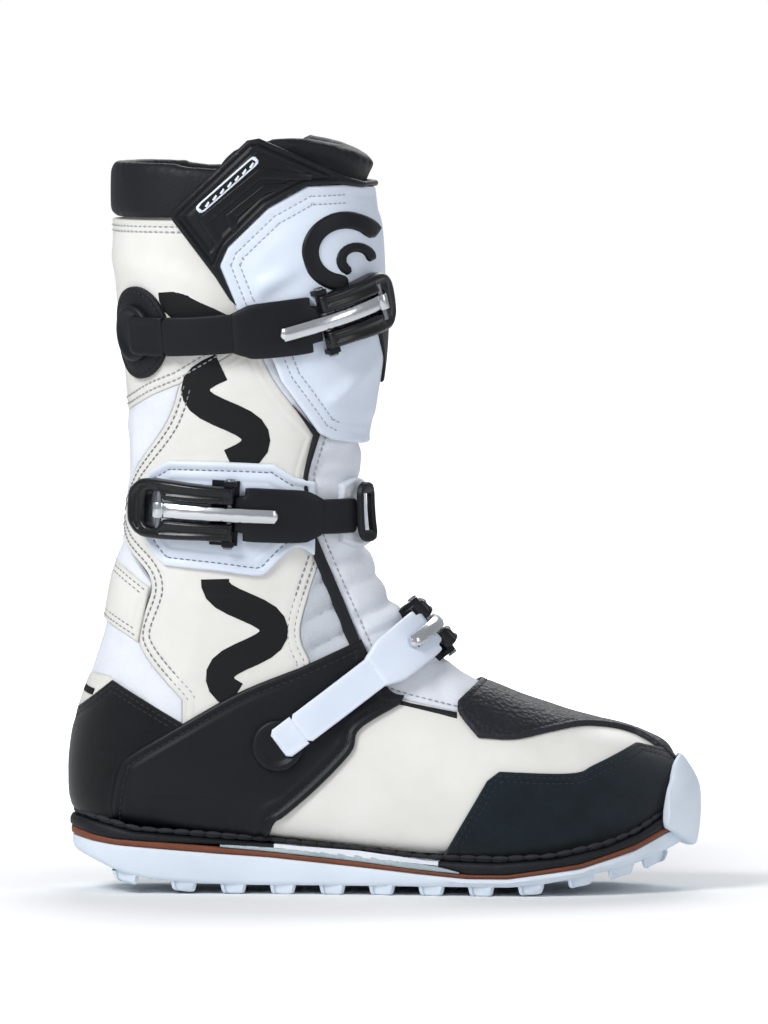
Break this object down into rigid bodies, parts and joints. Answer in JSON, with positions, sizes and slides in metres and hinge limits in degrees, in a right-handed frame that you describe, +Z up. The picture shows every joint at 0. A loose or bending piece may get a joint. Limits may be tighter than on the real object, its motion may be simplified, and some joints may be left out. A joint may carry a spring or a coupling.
{
  "type": "motorcycle trials boot",
  "caption": "Tall right-foot trials riding boot with a padded collar, hinged shin plate, lever buckles with straps and bars, ankle plates, stitched welt and lugged rubber sole",
  "frame": {"origin": "centre of the boot's footprint box, on the ground under the lugs", "axes": "+X towards the toe, +Y towards the medial side, +Z up along the shaft"},
  "size_m": [0.3065, 0.1146, 0.3643],
  "materials": {
    "aluminium": "polished",
    "black_leather": "smooth",
    "black_plastic": "fine texture",
    "brown_rubber": "smooth midsole",
    "grey_rubber": "textured",
    "grip_leather": "suede grip panel",
    "heel_nubuck": "nubuck",
    "insole_board": "fibre board",
    "ivory_leather": "smooth, satin",
    "lining_fabric": "knitted lining",
    "quilted_fabric": "quilted, silvery",
    "soft_leather": "soft, matt",
    "steel": "plain",
    "toe_nubuck": "nubuck",
    "white_plastic": "satin polyurethane",
    "white_rubber": "moulded"
  },
  "bodies": {
    "boot": {"achilles_band": "ivory_leather", "achilles_bellows": "soft_leather", "anchor_disc_low": "black_plastic", "anchor_disc_top": "black_plastic", "anchor_flange_top": "black_plastic", "ankle_plate_lateral": "black_plastic", "ankle_plate_medial": "black_plastic", "arch_strip": "grey_rubber", "buckle_plate_middle": "white_plastic", "collar_back": "black_leather", "flap_hinge_strip": "soft_leather", "footbed": "lining_fabric", "front_flap": "soft_leather", "gusset_lateral": "quilted_fabric", "gusset_medial": "quilted_fabric", "heel_counter": "heel_nubuck", "heel_leather": "ivory_leather", "heel_tab": "ivory_leather", "insole_board": "insole_board", "instep_tongue": "ivory_leather", "liner": "lining_fabric", "midsole": "brown_rubber", "outsole": "white_rubber", "pin_low": "steel", "pin_middle": "steel", "pivot_base_low": "black_plastic", "pivot_base_middle": "black_plastic", "quarter_lateral": "ivory_leather", "quarter_medial": "grip_leather", "ring_middle": "black_plastic", "ring_tab": "ivory_leather", "toe_bumper": "white_rubber", "toe_cap": "toe_nubuck", "toe_strip": "black_leather", "upper_back_panel": "ivory_leather", "vamp": "ivory_leather", "welt": "black_leather"},
    "shin_flap": {"shin_plate": "white_plastic", "shin_lining": "lining_fabric", "wing": "black_plastic", "collar_front": "black_leather", "pivot_base_top": "black_plastic", "pin_top": "steel"},
    "top_strap": {"strap_top": "black_plastic", "strap_head_top": "black_plastic"},
    "top_lever": {"lever_top": "black_plastic"},
    "top_bar": {"bar_top": "aluminium"},
    "middle_strap": {"strap_middle": "black_plastic", "strap_head_middle": "black_plastic"},
    "middle_lever": {"lever_middle": "black_plastic"},
    "middle_bar": {"bar_middle": "aluminium"},
    "low_strap": {"strap_low": "white_plastic", "strap_head_low": "white_plastic"},
    "low_lever": {"lever_low": "black_plastic"},
    "low_bar": {"bar_low": "aluminium"}
  },
  "joints": [
    {"name": "shin_flap_hinge", "type": "hinge", "parent": "boot", "child": "shin_flap", "pos_m": [-0.04585, 0.05555, 0.28], "axis": [0, 0, 1], "range_deg": [0, 45]},
    {"name": "top_strap_hinge", "type": "hinge", "parent": "boot", "child": "top_strap", "pos_m": [-0.10585, -0.04445, 0.2705], "axis": [0, 0, -1], "range_deg": [0, 70]},
    {"name": "top_lever_hinge", "type": "hinge", "parent": "shin_flap", "child": "top_lever", "pos_m": [-0.02797, -0.04786, 0.27585], "axis": [0.2351, 0.129, -0.9634], "range_deg": [0, 90]},
    {"name": "top_bar_hinge", "type": "hinge", "parent": "top_lever", "child": "top_bar", "pos_m": [-0.0015, -0.02904, 0.28483], "axis": [0.2351, 0.129, -0.9634], "range_deg": [-150.01, 0]},
    {"name": "middle_lever_hinge", "type": "hinge", "parent": "boot", "child": "middle_lever", "pos_m": [-0.0745, -0.04878, 0.18368], "axis": [0.05, -0.079, 0.9956], "range_deg": [0, 90]},
    {"name": "middle_bar_hinge", "type": "hinge", "parent": "middle_lever", "child": "middle_bar", "pos_m": [-0.10828, -0.0442, 0.18573], "axis": [0.05, -0.079, 0.9956], "range_deg": [-150.01, 0]},
    {"name": "middle_strap_hinge", "type": "hinge", "parent": "boot", "child": "middle_strap", "pos_m": [-0.01076, -0.0255, 0.18362], "axis": [-0.048, 0.055, 0.9973], "range_deg": [0, 40]},
    {"name": "low_lever_hinge", "type": "hinge", "parent": "boot", "child": "low_lever", "pos_m": [0.02289, -0.00274, 0.12752], "axis": [0.6, 0, -0.8], "range_deg": [0, 90]},
    {"name": "low_bar_hinge", "type": "hinge", "parent": "low_lever", "child": "low_bar", "pos_m": [0.01995, 0.02797, 0.12532], "axis": [0.6, 0, -0.8], "range_deg": [-150.01, 0]},
    {"name": "low_strap_hinge", "type": "hinge", "parent": "boot", "child": "low_strap", "pos_m": [-0.04055, -0.04365, 0.08], "axis": [0.6, 0, -0.8], "range_deg": [0, 45]}
  ],
  "couplings": [
    {"joint": "top_strap_hinge", "follows": "shin_flap_hinge", "ratio": 1.5556},
    {"joint": "top_lever_hinge", "follows": "shin_flap_hinge", "ratio": 2},
    {"joint": "top_bar_hinge", "follows": "shin_flap_hinge", "ratio": -3.3333},
    {"joint": "middle_bar_hinge", "follows": "middle_lever_hinge", "ratio": -1.6667},
    {"joint": "middle_strap_hinge", "follows": "middle_lever_hinge", "ratio": 0.44444},
    {"joint": "low_bar_hinge", "follows": "low_lever_hinge", "ratio": -1.6667},
    {"joint": "low_strap_hinge", "follows": "low_lever_hinge", "ratio": 0.5}
  ]
}
